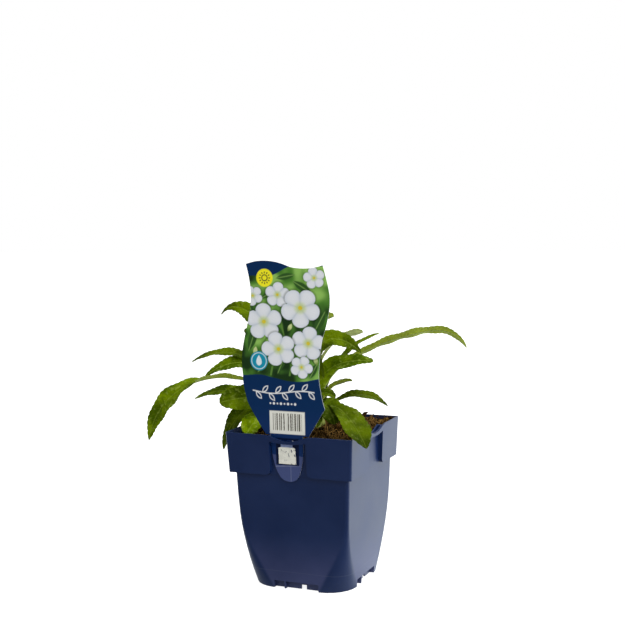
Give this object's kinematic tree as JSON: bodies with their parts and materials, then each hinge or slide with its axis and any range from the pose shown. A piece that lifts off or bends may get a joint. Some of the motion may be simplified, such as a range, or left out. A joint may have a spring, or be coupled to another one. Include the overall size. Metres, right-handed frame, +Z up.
{
  "type": "potted peach-leaved bellflower",
  "caption": "Young leafy perennial growing in soil in a tapered square nursery pot, with an upright plant label held behind a strap in the rim.",
  "frame": {"origin": "on the pot's axis, at the level that the pot stands on, in the middle of the round pad under its floor", "axes": "+Z up, -Y out of the side of the pot that carries the label, +X to the right as the label is seen"},
  "size_m": [0.2409, 0.1326, 0.2602],
  "materials": {
    "pot_plastic": "satin",
    "soil": "matte",
    "label_card": "satin",
    "leaf": "satin"
  },
  "bodies": {
    "root": {"pot": "pot_plastic", "soil": "soil", "label": "label_card", "shoot_left": "leaf", "shoot_front_left": "leaf", "shoot_front_right": "leaf", "shoot_right": "leaf", "shoot_back_right": "leaf", "shoot_back": "leaf", "shoot_back_left": "leaf", "leafy_stem": "leaf"}
  },
  "joints": []
}
